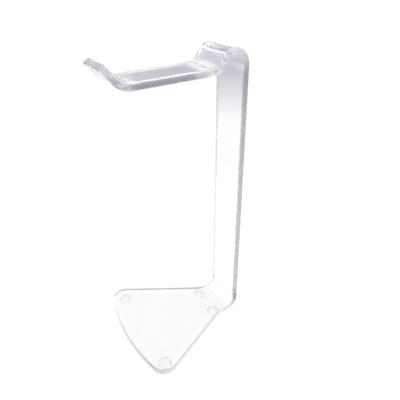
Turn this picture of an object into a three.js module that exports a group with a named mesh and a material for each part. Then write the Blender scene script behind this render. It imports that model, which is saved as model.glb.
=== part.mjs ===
// Headphone stand: one strip of clear acrylic sheet, cut flat and heat-bent five times, on four
// clear bumper feet. Millimetres, +Z up. The upright is at the back, +Y; the cradle arm and its
// upturned lip reach forward, towards -Y. The origin is the centre of the footprint, on the floor.
import * as THREE from "three";
import { mergeVertices } from "three/addons/utils/BufferGeometryUtils.js";

// Sheet
const THICKNESS = 5;
const STRIP_WIDTH = 33.5;
const EDGE_RADIUS = 0.6;        // polished edges, rounded all the way round the blank
const LIP_CORNER_RADIUS = 2;

// Side view, as the strip is bent from the base to the lip
const BASE_BEND_RADIUS = 7;     // inside, between the base and the upright
const UPRIGHT_LENGTH = 199.5;
const HUMP_BACK_RADIUS = 6.5;   // inside, where the upright turns over into the hump
const HUMP_RISE_ANGLE = 5;      // degrees above level, along the crest of the hump
const HUMP_CREST_LENGTH = 2;
const HUMP_FRONT_RADIUS = 3;    // inside
const RAMP_ANGLE = 60;          // degrees below level, from the hump down to the arm
const RAMP_LENGTH = 6;
const DIP_RADIUS = 6.5;         // top face, where the ramp runs out into the arm
const ARM_ANGLE = 3;            // degrees below level, towards the front
const ARM_LENGTH = 55.5;
const LIP_RADIUS = 11;          // top face, where the arm turns up into the lip
const LIP_ANGLE = 52;           // degrees above level
const LIP_LENGTH = 9;

// Plan view of the base, measured forward from the middle of the upright's thickness
const BASE_LENGTH = 97.5;
const TAPER_START = 15.5;       // where the base begins to widen
const TAPER_ANGLE = 28.5;       // degrees, each side
const TAPER_FILLET = 20;
const FRONT_RADIUS = 162;       // bowed front edge
const CORNER_RADIUS = 10;

// Bumper feet
const FOOT_RADIUS = 5;
const FOOT_HEIGHT = 2;
const FOOT_SHOULDER = 1.4;      // rounded edge between the side and the face on the floor
const REAR_FOOT_DISTANCE = 20;  // forward from the middle of the upright's thickness
const REAR_FOOT_SPACING = 24;
const GLUE_LINE = 0.3;          // clearance between a foot and the sheet

// Facets
const BEND_STEP = 5;            // degrees in each facet of a bend
const EDGE_STEPS = 3;           // facets in a quarter turn of the polished edge
const CORNER_STEPS = 12;
const FRONT_STEPS = 12;
const LIP_CORNER_STEPS = 5;
const TAPER_FILLET_STEPS = 4;
const FOOT_SIDES = 36;
const FOOT_SHOULDER_STEPS = 5;

const { degToRad } = THREE.MathUtils;
const HALF_WIDTH = STRIP_WIDTH / 2;
const MID = THICKNESS / 2;

// The line along the middle of the sheet's thickness, as straights and bends. A positive turn is
// anticlockwise, seen with the front of the stand on the left of +Y. Distance 0 is the start of
// the base bend; the flat base has negative distances.
function bentLine() {
  return [
    { turn: 90, radius: BASE_BEND_RADIUS + MID },
    { length: UPRIGHT_LENGTH },
    { turn: 90 - HUMP_RISE_ANGLE, radius: HUMP_BACK_RADIUS + MID },
    { length: HUMP_CREST_LENGTH },
    { turn: HUMP_RISE_ANGLE + RAMP_ANGLE, radius: HUMP_FRONT_RADIUS + MID },
    { length: RAMP_LENGTH },
    { turn: ARM_ANGLE - RAMP_ANGLE, radius: DIP_RADIUS + MID },
    { length: ARM_LENGTH },
    { turn: -LIP_ANGLE - ARM_ANGLE, radius: LIP_RADIUS + MID },
    { length: LIP_LENGTH },
  ];
}

// Each piece of the line with its start point, heading and distance, in the Y-Z plane.
function layOut(pieces) {
  let distance = 0;
  let heading = 0;
  let point = new THREE.Vector2(-BASE_BEND_RADIUS - MID, MID);
  return pieces.map((piece) => {
    const laid = { ...piece, start: distance, heading, point };
    laid.length = piece.length ?? Math.abs(degToRad(piece.turn)) * piece.radius;
    ({ point, heading } = along(laid, laid.length));
    distance += laid.length;
    return laid;
  });
}

// Point and heading at a distance from the start of one piece.
function along(piece, distance) {
  if (!piece.turn) {
    const step = new THREE.Vector2(Math.cos(piece.heading), Math.sin(piece.heading));
    return { point: piece.point.clone().addScaledVector(step, distance), heading: piece.heading };
  }
  const side = Math.sign(piece.turn);
  const heading = piece.heading + side * distance / piece.radius;
  const reach = side * piece.radius;
  const point = new THREE.Vector2(
    piece.point.x + reach * (Math.sin(heading) - Math.sin(piece.heading)),
    piece.point.y - reach * (Math.cos(heading) - Math.cos(piece.heading)),
  );
  return { point, heading };
}

// Where a point of the flat blank goes once the blank is bent: x across, s along, h from the
// face that becomes the underside of the base.
function bendPoint(line, x, s, h) {
  if (s < 0) return new THREE.Vector3(x, line[0].point.x + s, h);
  const piece = line.findLast((candidate) => candidate.start <= s);
  const { point, heading } = along(piece, s - piece.start);
  const offset = h - MID;
  return new THREE.Vector3(
    x,
    point.x - offset * Math.sin(heading),
    point.y + offset * Math.cos(heading),
  );
}

// Centre of the rounded front corner: tangent to the bowed front edge and to the tapered side.
function cornerCentre(frontCentre, side, outward) {
  const start = side.clone().addScaledVector(outward, -CORNER_RADIUS).sub(frontCentre);
  const run = new THREE.Vector2(outward.y, -outward.x);
  const half = start.dot(run);
  const reach = FRONT_RADIUS - CORNER_RADIUS;
  const distance = -half + Math.sqrt(half ** 2 - start.lengthSq() + reach ** 2);
  return start.addScaledVector(run, distance).add(frontCentre);
}

// Points of a circular arc, both ends included, as x and y pairs.
function arcPoints(centre, radius, from, to, steps) {
  const arc = new THREE.EllipseCurve(centre.x, centre.y, radius, radius, from, to, from > to);
  return arc.getPoints(steps);
}

// Right-hand half of the flat blank's outline, from the middle of the front edge to the lip's end.
function halfBlank(line) {
  const zero = -line[0].point.x;
  const taper = degToRad(TAPER_ANGLE);
  const outward = new THREE.Vector2(Math.cos(taper), Math.sin(taper));
  const side = new THREE.Vector2(HALF_WIDTH, zero - TAPER_START);
  const frontCentre = new THREE.Vector2(0, zero - BASE_LENGTH + FRONT_RADIUS);
  const corner = cornerCentre(frontCentre, side, outward);
  const cornerStart = corner.clone().sub(frontCentre).angle() - 2 * Math.PI;
  const front = arcPoints(frontCentre, FRONT_RADIUS, -Math.PI / 2, cornerStart, FRONT_STEPS);
  const round = arcPoints(corner, CORNER_RADIUS, cornerStart, taper, CORNER_STEPS);
  const fillet = new THREE.Vector2(
    HALF_WIDTH + TAPER_FILLET,
    side.y + TAPER_FILLET * Math.tan(taper / 2),
  );
  const blend = arcPoints(fillet, TAPER_FILLET, Math.PI + taper, Math.PI, TAPER_FILLET_STEPS);
  const last = line.at(-1);
  const end = last.start + last.length;
  const tip = new THREE.Vector2(HALF_WIDTH - LIP_CORNER_RADIUS, end - LIP_CORNER_RADIUS);
  const lipCorner = arcPoints(tip, LIP_CORNER_RADIUS, 0, Math.PI / 2, LIP_CORNER_STEPS);
  const strip = stations(line).map((s) => new THREE.Vector2(HALF_WIDTH, s));
  return [...front, ...round.slice(1), ...blend, ...strip, ...lipCorner];
}

// Distances along the strip at which it has a row of points: every facet of each bend.
function stations(line) {
  const rows = [];
  for (const { start, length, turn } of line.slice(0, -1)) {
    const steps = turn ? Math.ceil(Math.abs(turn) / BEND_STEP) : 1;
    for (let i = 0; i < steps; i += 1) rows.push(start + length * i / steps);
  }
  rows.push(line.at(-1).start);
  return rows;
}

// Inward direction at each point of a closed anticlockwise loop, long enough that a unit of it
// moves both neighbouring edges in by one.
function inwardMitres(loop) {
  return loop.map((here, i) => {
    const before = here.clone().sub(loop.at(i - 1)).normalize();
    const after = loop[(i + 1) % loop.length].clone().sub(here).normalize();
    const first = new THREE.Vector2(-before.y, before.x);
    const second = new THREE.Vector2(-after.y, after.x);
    return first.clone().add(second).divideScalar(1 + first.dot(second));
  });
}

// Inset and height of each ring of points round the polished edge, from one face to the other.
function edgeRings() {
  const rings = [];
  for (let i = 0; i <= EDGE_STEPS; i += 1) {
    const angle = Math.PI / 2 * i / EDGE_STEPS;
    rings.push({ inset: EDGE_RADIUS * (1 - Math.sin(angle)), h: EDGE_RADIUS * (1 - Math.cos(angle)) });
  }
  const mirrored = rings.map(({ inset, h }) => ({ inset, h: THICKNESS - h })).reverse();
  return [...rings, ...mirrored];
}

// The bent sheet as one closed surface: rings round its edge, and rows across its two faces.
function sheetGeometry() {
  const line = layOut(bentLine());
  const right = halfBlank(line);
  const left = right.slice(1).reverse().map(({ x, y }) => new THREE.Vector2(-x, y));
  const loop = [...right, ...left];
  const mitres = inwardMitres(loop);
  const rings = edgeRings();
  const positions = rings.flatMap(({ inset, h }) => loop.flatMap((point, i) => {
    const { x, y } = point.clone().addScaledVector(mitres[i], inset);
    return bendPoint(line, x, y, h).toArray();
  }));

  const count = loop.length;
  const indices = [];
  const quad = (a, b, c, d) => indices.push(a, b, c, a, c, d);
  for (let ring = 0; ring < rings.length - 1; ring += 1) {
    for (let i = 0; i < count; i += 1) {
      const low = ring * count;
      const next = (i + 1) % count;
      quad(low + i, low + next, low + count + next, low + count + i);
    }
  }
  const top = (rings.length - 1) * count;
  indices.push(0, count - 1, 1, top, top + 1, top + count - 1);
  for (let i = 1; i < right.length - 1; i += 1) {
    const mirror = count - i;
    quad(i, mirror, mirror - 1, i + 1);
    quad(top + i, top + i + 1, top + mirror - 1, top + mirror);
  }

  const geometry = new THREE.BufferGeometry();
  geometry.setAttribute("position", new THREE.Float32BufferAttribute(positions, 3));
  geometry.setIndex(indices);
  geometry.computeVertexNormals();
  return geometry;
}

// A bumper foot turned about Z, flat on the floor at z = 0 and flat against the sheet on top.
function footGeometry() {
  const shoulder = arcPoints(
    new THREE.Vector2(FOOT_RADIUS - FOOT_SHOULDER, FOOT_SHOULDER),
    FOOT_SHOULDER,
    -Math.PI / 2,
    0,
    FOOT_SHOULDER_STEPS,
  );
  const profile = [
    new THREE.Vector2(0, 0),
    ...shoulder,
    new THREE.Vector2(FOOT_RADIUS, FOOT_HEIGHT),
    new THREE.Vector2(0, FOOT_HEIGHT),
  ];
  const geometry = new THREE.LatheGeometry(profile, FOOT_SIDES);
  geometry.rotateX(Math.PI / 2);
  geometry.deleteAttribute("normal");
  geometry.deleteAttribute("uv");
  return mergeVertices(geometry, 1e-4);
}

function sheetMesh() {
  const material = new THREE.MeshStandardMaterial({
    name: "clear_acrylic",
    color: 0xe9ecf2,
    roughness: 0.06,
    metalness: 0,
    transparent: true,
    opacity: 0.3,
  });
  const mesh = new THREE.Mesh(sheetGeometry(), material);
  mesh.name = "bent_sheet";
  mesh.position.z = FOOT_HEIGHT + GLUE_LINE;
  return mesh;
}

function footMesh(name, x, y) {
  const material = new THREE.MeshStandardMaterial({
    name: "clear_polyurethane",
    color: 0xe4e6ea,
    roughness: 0.3,
    metalness: 0,
    transparent: true,
    opacity: 0.5,
  });
  const mesh = new THREE.Mesh(footGeometry(), material);
  mesh.name = name;
  mesh.position.set(x, y, 0);
  return mesh;
}

// The front feet share their centres with the rounded corners of the base.
function feet() {
  const taper = degToRad(TAPER_ANGLE);
  const outward = new THREE.Vector2(Math.cos(taper), Math.sin(taper));
  const side = new THREE.Vector2(HALF_WIDTH, -TAPER_START);
  const frontCentre = new THREE.Vector2(0, FRONT_RADIUS - BASE_LENGTH);
  const { x, y } = cornerCentre(frontCentre, side, outward);
  return [
    footMesh("foot_front_left", -x, y),
    footMesh("foot_front_right", x, y),
    footMesh("foot_rear_left", -REAR_FOOT_SPACING / 2, -REAR_FOOT_DISTANCE),
    footMesh("foot_rear_right", REAR_FOOT_SPACING / 2, -REAR_FOOT_DISTANCE),
  ];
}

const stand = new THREE.Group();
stand.add(sheetMesh(), ...feet());
const extent = new THREE.Box3().setFromObject(stand);
stand.position.y = -(extent.min.y + extent.max.y) / 2;

const headphoneStand = new THREE.Group();
headphoneStand.add(stand);

export default headphoneStand;
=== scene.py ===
"""Looks of the clear bent-sheet headphone stand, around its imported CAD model. Metres, +Z up."""
import math

import bpy
import bmesh
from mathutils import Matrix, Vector, noise


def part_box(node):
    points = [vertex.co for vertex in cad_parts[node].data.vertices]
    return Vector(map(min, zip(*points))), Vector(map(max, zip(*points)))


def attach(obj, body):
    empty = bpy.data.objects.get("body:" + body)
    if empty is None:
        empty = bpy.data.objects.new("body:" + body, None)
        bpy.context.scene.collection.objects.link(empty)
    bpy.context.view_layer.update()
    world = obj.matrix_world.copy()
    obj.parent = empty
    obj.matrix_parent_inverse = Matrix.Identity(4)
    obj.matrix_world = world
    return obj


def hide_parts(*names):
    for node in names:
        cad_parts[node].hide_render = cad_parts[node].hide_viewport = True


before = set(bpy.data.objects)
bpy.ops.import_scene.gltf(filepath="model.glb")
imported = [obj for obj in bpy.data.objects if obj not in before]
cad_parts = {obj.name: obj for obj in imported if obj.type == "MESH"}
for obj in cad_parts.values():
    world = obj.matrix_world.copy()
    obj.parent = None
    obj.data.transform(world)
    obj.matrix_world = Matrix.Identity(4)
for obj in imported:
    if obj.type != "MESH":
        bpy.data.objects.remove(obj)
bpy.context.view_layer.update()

MM = 0.001
BODY = "root"

# Sheet, as it is bent: the same line and plan as the CAD sheet
THICKNESS = 5 * MM
HALF_WIDTH = 16.75 * MM
EDGE_RADIUS = 0.8 * MM
LIP_CORNER_RADIUS = 2 * MM
BASE_BEND_RADIUS = 7 * MM
UPRIGHT_LENGTH = 199.5 * MM
HUMP_BACK_RADIUS = 6.5 * MM
HUMP_RISE_ANGLE = math.radians(5)
HUMP_CREST_LENGTH = 2 * MM
HUMP_FRONT_RADIUS = 3 * MM
RAMP_ANGLE = math.radians(60)
RAMP_LENGTH = 6 * MM
DIP_RADIUS = 6.5 * MM
ARM_ANGLE = math.radians(3)
ARM_LENGTH = 55.5 * MM
LIP_RADIUS = 11 * MM
LIP_ANGLE = math.radians(52)
LIP_LENGTH = 9 * MM
BASE_LENGTH = 97.5 * MM
TAPER_START = 15.5 * MM
TAPER_ANGLE = math.radians(28.5)
TAPER_FILLET = 20 * MM
FRONT_RADIUS = 162 * MM
CORNER_RADIUS = 10 * MM

# What hot bending does to the sheet
BEND_SAG = 0.9 * MM             # the middle of each bend sinks towards its inside
BEND_FLARE = 0.45 * MM          # the squeezed inside of each bend swells sideways
BEND_REACH = 4 * MM             # how far that spreads into the straights
RIPPLE = 0.02 * MM              # how far the uneven faces sink below flat
RIPPLE_SIZE = 22 * MM
TOP_FACE_SHIFT = 7.0            # sets the top face's ripple apart from the bottom face's
BEND_GLAZE = 0.6                # how far the heat melts the cut marks on the edges, and lightens their painted shade at the bends
BEND_HAZE = 0.16                # how much rougher the heat leaves the polished faces

# How frosted the cut edges are, from clear, 0, to matt, 1
BASE_FROST = 0.8
STRIP_FROST = 0.12
TIP_FROST = 0.6
BASE_RIM_SHADE = 0.8                 # how much painted shade greys the base's rim, against the strip's edges

# Mesh density
BEND_STEP = math.radians(2.5)
STRAIGHT_STEP = 3 * MM
FRONT_STEPS = 28
CORNER_STEPS = 16
FILLET_STEPS = 8
LIP_CORNER_STEPS = 8
EDGE_STEPS = 4
COLUMNS = 18

# Bumper feet
FOOT_SHOULDER = 1.4 * MM
FOOT_SIDES = 64
FOOT_SHOULDER_STEPS = 10
FOOT_SIDE_TOP = 0.85            # where the side ends, as a share of the height
FOOT_TOP_RADIUS = 0.97          # as a share of the foot's radius, like the two below
FOOT_TOP_CAP = 0.5
FOOT_UNDER_CAP = 0.55

# Acrylic
IOR = 1.49
FACE_TINT = (0.99, 0.99, 1.0, 1)
# Painted shade: the grey the cut edges are mixed towards, standing in for the shade and dark
# reflections on them
CUT_EDGE_SHADE = (0.50, 0.50, 0.53, 1)
CUT_HAZE = 0.16                 # how much rougher the cut edges are than the faces
SMEAR_SCALE = 60.0
LEAST_HAZE = 0.012              # roughness of the faces between the smears, and in them
MOST_HAZE = 0.05
BODY_TINT = (0.70, 0.70, 0.76, 1)
BODY_DENSITY = 6.0

# Studio: how light the dome is at each height, from straight down, -1, to straight up, 1
BACKDROP = (1.03, 1.03, 1.03)   # the dome where it is seen straight from the camera
WALL = (0.52, 0.52, 0.59)
DOME = (
    (-1.00, (1.01, 1.01, 1.01)),
    (-0.29, (1.01, 1.01, 1.01)),
    (-0.16, WALL),
    (0.22, WALL),
    (0.40, (1.3, 1.3, 1.3)),
)
FLOOR_RADIUS = 0.3
TABLE_GLOW = 0.74
TABLE_GREY = 0.25
SUN_ENERGY = 1.5
SUN_ANGLE = math.radians(50)
SUN_TURN = (math.radians(-26), math.radians(56), 0)

MID = THICKNESS / 2


def bent_line():
    """Straights and bends of the sheet's middle line, from the base bend to the lip's end."""
    return [
        ("bend", math.pi / 2, BASE_BEND_RADIUS + MID),
        ("straight", UPRIGHT_LENGTH, 0),
        ("bend", math.pi / 2 - HUMP_RISE_ANGLE, HUMP_BACK_RADIUS + MID),
        ("straight", HUMP_CREST_LENGTH, 0),
        ("bend", HUMP_RISE_ANGLE + RAMP_ANGLE, HUMP_FRONT_RADIUS + MID),
        ("straight", RAMP_LENGTH, 0),
        ("bend", ARM_ANGLE - RAMP_ANGLE, DIP_RADIUS + MID),
        ("straight", ARM_LENGTH, 0),
        ("bend", -LIP_ANGLE - ARM_ANGLE, LIP_RADIUS + MID),
        ("straight", LIP_LENGTH, 0),
    ]


def lay_out(pieces):
    """Each piece with its start distance, start point, heading, length and signed curvature."""
    low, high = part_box("bent_sheet")
    y = high.y - THICKNESS - BASE_BEND_RADIUS
    z = low.z + MID
    heading = 0.0
    start = 0.0
    laid = []
    for kind, amount, radius in pieces:
        length = abs(amount) * radius if kind == "bend" else amount
        curvature = math.copysign(1 / radius, amount) if kind == "bend" else 0.0
        piece = {"start": start, "y": y, "z": z, "heading": heading, "length": length,
                 "curvature": curvature}
        laid.append(piece)
        y, z, heading = along(piece, length)
        start += length
    return laid


def along(piece, distance):
    """Place and heading of the middle line at a distance into one piece."""
    heading = piece["heading"] + piece["curvature"] * distance
    if piece["curvature"] == 0:
        y = piece["y"] + distance * math.cos(heading)
        z = piece["z"] + distance * math.sin(heading)
    else:
        reach = 1 / piece["curvature"]
        y = piece["y"] + reach * (math.sin(heading) - math.sin(piece["heading"]))
        z = piece["z"] - reach * (math.cos(heading) - math.cos(piece["heading"]))
    return y, z, heading


def bend_weight(line, s):
    """How strongly a point at distance s feels a bend: 0 in the straights, up to 1 or -1."""
    strongest = {1.0: 0.0, -1.0: 0.0}
    for piece in line:
        if piece["curvature"] == 0:
            continue
        outside = max(piece["start"] - s, s - piece["start"] - piece["length"], 0)
        ease = max(0.0, 1 - outside / BEND_REACH)
        side = math.copysign(1.0, piece["curvature"])
        strongest[side] = max(strongest[side], ease * ease * (3 - 2 * ease))
    return strongest[1.0] - strongest[-1.0]


def formed(line, x, s, h):
    """A point of the flat blank once the hot sheet is bent: x across, s along, h through."""
    weight = bend_weight(line, s)
    across = min(1.0, abs(x) / HALF_WIDTH)
    squeezed = 0.5 + math.copysign(1, weight) * (h / THICKNESS - 0.5)
    x += math.copysign(BEND_FLARE * abs(weight) * squeezed * across ** 6, x)
    h += BEND_SAG * weight * (1 - across ** 3)
    face = 0.0 if h < MID else TOP_FACE_SHIFT
    wave = noise.noise(Vector((x, s, face * RIPPLE_SIZE)) / RIPPLE_SIZE)
    h += RIPPLE * (1 + wave) / 2 * (1 if h < MID else -1)
    if s < 0:
        return Vector((x, line[0]["y"] + s, line[0]["z"] - MID + h))
    piece = next(p for p in reversed(line) if p["start"] <= s)
    y, z, heading = along(piece, s - piece["start"])
    offset = h - MID
    return Vector((x, y - offset * math.sin(heading), z + offset * math.cos(heading)))


def arc(centre, radius, first, last, steps):
    """Points of a circular arc, both ends included."""
    angles = [first + (last - first) * i / steps for i in range(steps + 1)]
    return [Vector((centre.x + radius * math.cos(a), centre.y + radius * math.sin(a)))
            for a in angles]


def half_blank(line):
    """Right-hand half of the flat blank's outline, from the front edge's middle to the lip."""
    zero = BASE_BEND_RADIUS + MID
    outward = Vector((math.cos(TAPER_ANGLE), math.sin(TAPER_ANGLE)))
    side = Vector((HALF_WIDTH, zero - TAPER_START))
    front = Vector((0, zero - BASE_LENGTH + FRONT_RADIUS))
    offset = side - outward * CORNER_RADIUS - front
    run = Vector((outward.y, -outward.x))
    half = offset.dot(run)
    reach = FRONT_RADIUS - CORNER_RADIUS
    slide = -half + math.sqrt(half ** 2 - offset.length_squared + reach ** 2)
    corner = front + offset + run * slide
    turn = math.atan2(corner.y - front.y, corner.x - front.x)
    fillet = Vector((HALF_WIDTH + TAPER_FILLET,
                     side.y + TAPER_FILLET * math.tan(TAPER_ANGLE / 2)))
    end = line[-1]["start"] + line[-1]["length"]
    tip = Vector((HALF_WIDTH - LIP_CORNER_RADIUS, end - LIP_CORNER_RADIUS))

    bow = arc(front, FRONT_RADIUS, -math.pi / 2, turn, FRONT_STEPS)
    rounded = arc(corner, CORNER_RADIUS, turn, TAPER_ANGLE, CORNER_STEPS)
    blend = arc(fillet, TAPER_FILLET, math.pi + TAPER_ANGLE, math.pi, FILLET_STEPS)
    taper = spaced(rounded[-1], blend[0])
    strip = [Vector((HALF_WIDTH, s)) for s in stations(line) if s < tip.y]
    lead = spaced(blend[-1], strip[0])
    lip = arc(tip, LIP_CORNER_RADIUS, 0, math.pi / 2, LIP_CORNER_STEPS)
    return bow + rounded[1:] + taper + blend + lead + strip + lip


def spaced(first, last):
    """Points between two ends, no further apart than a straight step."""
    steps = math.ceil((last - first).length / STRAIGHT_STEP)
    return [first.lerp(last, i / steps) for i in range(1, steps)]


def stations(line):
    """Distances along the strip at which the sheet has a row of points."""
    rows = []
    for piece in line:
        if piece["curvature"]:
            turn = piece["length"] * abs(piece["curvature"])
            steps = math.ceil(turn / BEND_STEP)
        else:
            steps = math.ceil(piece["length"] / STRAIGHT_STEP)
        rows += [piece["start"] + piece["length"] * i / steps for i in range(steps)]
    return rows


def mitres(loop):
    """Inward direction at each point of a closed anticlockwise loop."""
    result = []
    for i, here in enumerate(loop):
        before = (here - loop[i - 1]).normalized()
        after = (loop[(i + 1) % len(loop)] - here).normalized()
        first = Vector((-before.y, before.x))
        second = Vector((-after.y, after.x))
        result.append((first + second) / (1 + first.dot(second)))
    return result


def edge_rings():
    """Inset, height and edge mark of each ring round the polished edge, face to face."""
    quarter = []
    for i in range(EDGE_STEPS + 1):
        angle = math.pi / 2 * i / EDGE_STEPS
        inset = EDGE_RADIUS * (1 - math.sin(angle))
        quarter.append((inset, EDGE_RADIUS * (1 - math.cos(angle))))
    middle = [(0.0, MID)]
    return quarter + middle + [(inset, THICKNESS - h) for inset, h in reversed(quarter)]


def build_sheet():
    """The bent sheet: rings round its edge, and a grid of rows and columns on each face."""
    line = lay_out(bent_line())
    right = half_blank(line)
    left = [Vector((-p.x, p.y)) for p in reversed(right[1:])]
    across_tip = [right[-1].lerp(left[0], c / COLUMNS) for c in range(1, COLUMNS)]
    loop = right + across_tip + left
    inward = mitres(loop)
    rings = edge_rings()
    mesh = bmesh.new()
    # Painted shade: how much each cut edge is greyed, which also sets how much rougher it is
    shade_haze_layer = mesh.verts.layers.float.new("edge_shade_haze")
    frosting = mesh.verts.layers.float.new("frost")
    softness = mesh.verts.layers.float.new("softened")
    tip = line[-1]["start"] + line[-1]["length"] - LIP_CORNER_RADIUS

    def add(x, s, h, mark):
        vert = mesh.verts.new(formed(line, x, s, h))
        heat = abs(bend_weight(line, s))
        # share of the edge's frost and painted shade that the heat of a bend leaves
        frost_and_shade_left = 1 - BEND_GLAZE * heat
        frost = BASE_FROST if s < 0 else TIP_FROST if s > tip else STRIP_FROST
        # painted shade: the base's rim and the strip's edges are greyed by these amounts
        vert[shade_haze_layer] = mark * (BASE_RIM_SHADE if s < 0 else frost_and_shade_left)
        vert[frosting] = mark * frost_and_shade_left * frost
        vert[softness] = heat
        return vert

    grid = []
    for inset, h in rings:
        mark = 1.0 if inset == 0 else 0.0
        ring = []
        for point, inwards in zip(loop, inward):
            moved = point + inwards * inset
            ring.append(add(moved.x, moved.y, h, mark))
        grid.append(ring)
    count = len(loop)
    for low, high in zip(grid, grid[1:]):
        for i in range(count):
            nxt = (i + 1) % count
            mesh.faces.new((low[i], low[nxt], high[nxt], high[i]))

    for ring, h, upward in ((grid[0], 0.0, False), (grid[-1], THICKNESS, True)):
        rows = [[ring[0]] * (COLUMNS + 1)]
        last = len(right) - 1
        for i in range(1, last):
            a = ring[i]
            b = ring[count - i]
            half = loop[i] + inward[i] * EDGE_RADIUS
            inner = [add(half.x * (1 - 2 * c / COLUMNS), half.y, h, 0.0)
                     for c in range(1, COLUMNS)]
            rows.append([a, *inner, b])
        rows.append(ring[last:last + COLUMNS + 1])
        for near, far in zip(rows, rows[1:]):
            for c in range(COLUMNS):
                corners = [near[c], far[c], far[c + 1], near[c + 1]]
                unique = list(dict.fromkeys(corners))
                if not upward:
                    unique.reverse()
                mesh.faces.new(unique)
    return finish_mesh(mesh, "clear_sheet")


def build_foot(node):
    """A bumper foot turned about its own axis, to the size of its CAD node."""
    low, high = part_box(node)
    centre = (low + high) / 2
    radius = (high.x - low.x) / 2
    shoulder = arc(Vector((radius - FOOT_SHOULDER, FOOT_SHOULDER)), FOOT_SHOULDER,
                   -math.pi / 2, 0, FOOT_SHOULDER_STEPS)
    top = high.z - low.z
    profile = [
        Vector((FOOT_UNDER_CAP * radius, 0)),
        *shoulder,
        Vector((radius, FOOT_SIDE_TOP * top)),
        Vector((FOOT_TOP_RADIUS * radius, top)),
        Vector((FOOT_TOP_CAP * radius, top)),
    ]
    mesh = bmesh.new()
    rings = []
    for point in profile:
        ring = []
        for i in range(FOOT_SIDES):
            angle = 2 * math.pi * i / FOOT_SIDES
            ring.append(mesh.verts.new((centre.x + point.x * math.cos(angle),
                                        centre.y + point.x * math.sin(angle),
                                        low.z + point.y)))
        rings.append(ring)
    for lower, upper in zip(rings, rings[1:]):
        for i in range(FOOT_SIDES):
            nxt = (i + 1) % FOOT_SIDES
            mesh.faces.new((lower[i], lower[nxt], upper[nxt], upper[i]))
    mesh.faces.new(list(reversed(rings[0])))
    mesh.faces.new(rings[-1])
    return finish_mesh(mesh, node.replace("foot", "bumper"))


def finish_mesh(mesh, name):
    """Turns a bmesh into a smooth object in the scene."""
    data = bpy.data.meshes.new(name)
    mesh.normal_update()
    mesh.to_mesh(data)
    mesh.free()
    data.shade_smooth()
    piece = bpy.data.objects.new(name, data)
    bpy.context.scene.collection.objects.link(piece)
    return piece


class Nodes:
    """Short way to add and link the nodes of one material."""

    def __init__(self, name):
        self.material = bpy.data.materials.new(name)
        self.material.use_nodes = True
        self.tree = self.material.node_tree
        self.shader = self.tree.nodes["Principled BSDF"]
        self.output = self.tree.nodes["Material Output"]

    def add(self, kind, values=None, **properties):
        node = self.tree.nodes.new("ShaderNode" + kind)
        for key, value in properties.items():
            setattr(node, key, value)
        for key, value in (values or {}).items():
            node.inputs[key].default_value = value
        return node

    def link(self, source, target):
        self.tree.links.new(source, target)


def acrylic_material():
    """Clear cast acrylic: polished faces with faint handling marks, and frosted cut edges greyed
    by painted shade.
    """
    n = Nodes("clear_acrylic")
    shader = n.shader
    shader.inputs["IOR"].default_value = IOR

    frost = n.add("Attribute", attribute_name="frost")
    clear = n.add("Math", {0: 1.0}, operation="SUBTRACT")
    n.link(frost.outputs["Fac"], clear.inputs[1])
    n.link(clear.outputs["Value"], shader.inputs["Transmission Weight"])

    # Painted shade: this attribute mixes the cut edges towards a grey tint, and also roughens
    # them
    edge = n.add("Attribute", attribute_name="edge_shade_haze")
    tint = n.add("Mix", data_type="RGBA")
    tint.inputs["A"].default_value = FACE_TINT
    tint.inputs["B"].default_value = CUT_EDGE_SHADE
    n.link(edge.outputs["Fac"], tint.inputs["Factor"])
    n.link(tint.outputs["Result"], shader.inputs["Base Color"])

    place = n.add("TexCoord")
    smears = n.add("TexNoise", {"Scale": SMEAR_SCALE, "Detail": 3.0, "Roughness": 0.6})
    n.link(place.outputs["Object"], smears.inputs["Vector"])
    haze = n.add("MapRange", {"From Min": 0.35, "From Max": 0.75})
    haze.inputs["To Min"].default_value = LEAST_HAZE
    haze.inputs["To Max"].default_value = MOST_HAZE
    n.link(smears.outputs["Fac"], haze.inputs["Value"])

    edge_haze = n.add("Math", {1: CUT_HAZE}, operation="MULTIPLY_ADD")
    n.link(edge.outputs["Fac"], edge_haze.inputs[0])
    n.link(haze.outputs["Result"], edge_haze.inputs[2])

    heat = n.add("Attribute", attribute_name="softened")
    rough = n.add("Math", {1: BEND_HAZE}, operation="MULTIPLY_ADD")
    n.link(heat.outputs["Fac"], rough.inputs[0])
    n.link(edge_haze.outputs["Value"], rough.inputs[2])
    n.link(rough.outputs["Value"], shader.inputs["Roughness"])

    inside = n.add("VolumeAbsorption", {"Color": BODY_TINT, "Density": BODY_DENSITY})
    n.link(inside.outputs["Volume"], n.output.inputs["Volume"])
    return n.material


def bumper_material():
    """Soft clear polyurethane with a fine satin skin."""
    n = Nodes("clear_polyurethane")
    shader = n.shader
    shader.inputs["Base Color"].default_value = (1.0, 1.0, 1.0, 1)
    shader.inputs["Transmission Weight"].default_value = 0.9
    shader.inputs["IOR"].default_value = 1.46
    place = n.add("TexCoord")
    grain = n.add("TexNoise", {"Scale": 900.0, "Detail": 2.0})
    n.link(place.outputs["Object"], grain.inputs["Vector"])
    rough = n.add("MapRange", {"To Min": 0.30, "To Max": 0.40})
    n.link(grain.outputs["Fac"], rough.inputs["Value"])
    n.link(rough.outputs["Result"], shader.inputs["Roughness"])
    return n.material


def floor_material():
    """White light table: most of its light is an even glow, so shadows on it are faint."""
    n = Nodes("white_floor")
    n.shader.inputs["Base Color"].default_value = (TABLE_GREY, TABLE_GREY, TABLE_GREY, 1)
    n.shader.inputs["Roughness"].default_value = 0.9
    n.shader.inputs["Specular IOR Level"].default_value = 0.0
    n.shader.inputs["Emission Color"].default_value = (1, 1, 1, 1)
    n.shader.inputs["Emission Strength"].default_value = TABLE_GLOW
    return n.material


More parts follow.
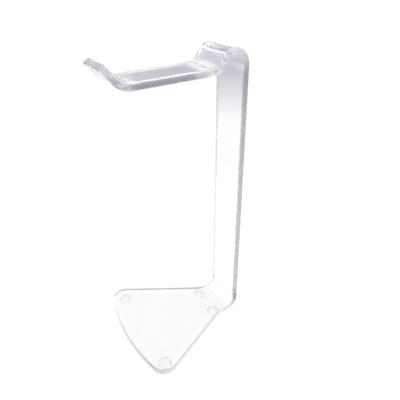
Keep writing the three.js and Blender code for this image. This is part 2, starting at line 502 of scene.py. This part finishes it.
def make_stage():
    """A white floor, a soft dome, and one broad light from the right."""
    mesh = bmesh.new()
    bmesh.ops.create_circle(mesh, cap_ends=True, segments=96, radius=FLOOR_RADIUS)
    data = bpy.data.meshes.new("floor")
    mesh.to_mesh(data)
    mesh.free()
    floor = bpy.data.objects.new("floor", data)
    floor.data.materials.append(floor_material())
    bpy.context.scene.collection.objects.link(floor)

    world = bpy.data.worlds.new("dome")
    world.use_nodes = True
    tree = world.node_tree
    background = tree.nodes["Background"]
    place = tree.nodes.new("ShaderNodeTexCoord")
    split = tree.nodes.new("ShaderNodeSeparateXYZ")
    height = tree.nodes.new("ShaderNodeMapRange")
    height.inputs["From Min"].default_value = -1.0
    height.inputs["From Max"].default_value = 1.0
    ramp = tree.nodes.new("ShaderNodeValToRGB")
    stops = ramp.color_ramp.elements
    stops.remove(stops[1])
    stops[0].position = 0.0
    stops[0].color = (*DOME[0][1], 1)
    for level, colour in DOME[1:]:
        stops.new((level + 1) / 2).color = (*colour, 1)
    path = tree.nodes.new("ShaderNodeLightPath")
    seen = tree.nodes.new("ShaderNodeMix")
    seen.data_type = "RGBA"
    seen.inputs["B"].default_value = (*BACKDROP, 1)
    tree.links.new(place.outputs["Generated"], split.inputs["Vector"])
    tree.links.new(split.outputs["Z"], height.inputs["Value"])
    tree.links.new(height.outputs["Result"], ramp.inputs["Fac"])
    tree.links.new(path.outputs["Is Camera Ray"], seen.inputs["Factor"])
    tree.links.new(ramp.outputs["Color"], seen.inputs["A"])
    tree.links.new(seen.outputs["Result"], background.inputs["Color"])
    bpy.context.scene.world = world

    data = bpy.data.lights.new("side_light", "SUN")
    data.energy = SUN_ENERGY
    data.angle = SUN_ANGLE
    sun = bpy.data.objects.new("side_light", data)
    sun.rotation_euler = SUN_TURN
    bpy.context.scene.collection.objects.link(sun)


def make_camera():
    """A camera in front of the stand, to its right and above it."""
    azimuth = math.radians(59.74)
    elevation = math.radians(28.02)
    target = Vector((7.7, 18.0, 116.0)) * MM
    distance = 307 * MM
    data = bpy.data.cameras.new("camera")
    data.lens = 36.37
    data.sensor_width = 36.0
    camera = bpy.data.objects.new("camera", data)
    back = Vector((math.sin(azimuth) * math.cos(elevation),
                   -math.cos(azimuth) * math.cos(elevation),
                   math.sin(elevation)))
    camera.location = target + back * distance
    camera.rotation_euler = back.to_track_quat("Z", "Y").to_euler()
    bpy.context.scene.collection.objects.link(camera)
    bpy.context.scene.camera = camera


def make_stand():
    acrylic = acrylic_material()
    sheet = build_sheet()
    sheet.data.materials.append(acrylic)
    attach(sheet, BODY)
    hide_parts("bent_sheet")

    polyurethane = bumper_material()
    for node in sorted(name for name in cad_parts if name.startswith("foot")):
        foot = build_foot(node)
        foot.data.materials.append(polyurethane)
        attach(foot, BODY)
        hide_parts(node)


scene = bpy.context.scene
scene.view_settings.view_transform = "Standard"
# Light is reflected many times inside the clear sheet before it leaves
scene.cycles.max_bounces = 32
scene.cycles.glossy_bounces = 24
scene.cycles.transmission_bounces = 24
make_camera()
make_stage()
make_stand()
